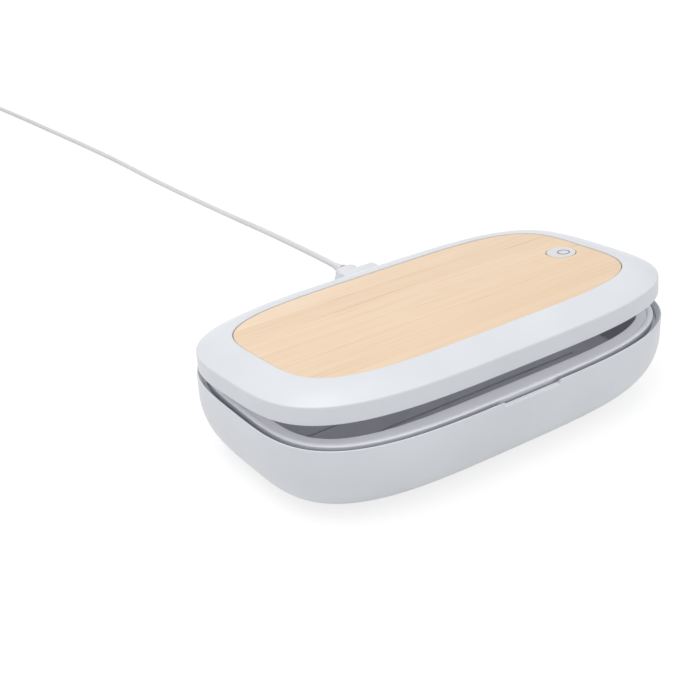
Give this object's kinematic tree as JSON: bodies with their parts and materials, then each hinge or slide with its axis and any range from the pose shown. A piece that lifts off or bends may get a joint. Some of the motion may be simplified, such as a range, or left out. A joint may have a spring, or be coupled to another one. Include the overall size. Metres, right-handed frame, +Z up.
{
  "type": "uv-c sanitizer box",
  "caption": "Long rounded UV-C sanitizer box with a hinged lid, a bamboo top panel, one round push button and a USB cable in a rear port.",
  "frame": {"origin": "on the floor, under the centre of the box without its cable: the middle of its length and of its depth with the rear port housing", "axes": "+X along the long side towards the button end, +Y towards the hinge and the cable, +Z up"},
  "size_m": [0.2148, 0.693, 0.0589],
  "materials": {
    "shell_white": "satin white plastic with a faint cool tone",
    "frame_white": "satin white plastic",
    "tray_grey": "grey satin plastic",
    "bamboo": "pale bamboo strips, matt lacquer",
    "button_white": "pearl white satin plastic",
    "reflector": "plastic plate with a metallised, mirror-like UV reflecting film",
    "rubber_grey": "matt silicone",
    "steel": "nickel plated",
    "board_green": "solder mask",
    "black_plastic": "matt",
    "quartz": "clear quartz",
    "cord_white": "soft white cable jacket"
  },
  "bodies": {
    "base": {"base_shell": "shell_white", "inner_frame": "frame_white", "tray_liner": "tray_grey", "interlock_magnet": "steel", "foot_front_left": "rubber_grey", "foot_front_right": "rubber_grey", "foot_rear_left": "rubber_grey", "foot_rear_right": "rubber_grey", "base_screw_front_left": "steel", "base_screw_front_right": "steel", "base_screw_rear_left": "steel", "base_screw_rear_right": "steel", "port_housing": "shell_white", "usb_port": "steel", "port_board": "board_green", "hinge_pin_left": "steel", "hinge_pin_right": "steel", "plug_shell": "steel", "plug_grip": "cord_white", "strain_relief": "cord_white", "cable_run": "cord_white", "cable_coil": "cord_white", "cable_tail": "cord_white", "end_plug_grip": "cord_white", "end_plug_shell": "steel", "cable_tie": "rubber_grey"},
    "lid": {"lid_shell": "shell_white", "bamboo_panel": "bamboo", "lid_cover": "reflector", "lid_seal": "rubber_grey", "led_window_1": "quartz", "led_window_2": "quartz", "led_window_3": "quartz", "uv_led_1": "black_plastic", "uv_led_2": "black_plastic", "uv_led_3": "black_plastic", "lid_screw_front_left": "steel", "lid_screw_front_right": "steel", "lid_screw_rear_left": "steel", "lid_screw_rear_right": "steel", "main_board": "board_green", "tact_switch": "black_plastic", "lid_sensor": "black_plastic"},
    "button": {"button_cap": "button_white", "switch_plunger": "black_plastic"}
  },
  "joints": [
    {"name": "lid_hinge", "type": "hinge", "parent": "base", "child": "lid", "pos_m": [0.0052, 0.06205, 0.0353], "axis": [-1, 0, 0], "range_deg": [-5, 72]},
    {"name": "button_press", "type": "slide", "parent": "lid", "child": "button", "axis": [0, -0.0872, -0.9962], "range_m": [0, 0.0005], "stiffness_N_per_m": 1500}
  ]
}
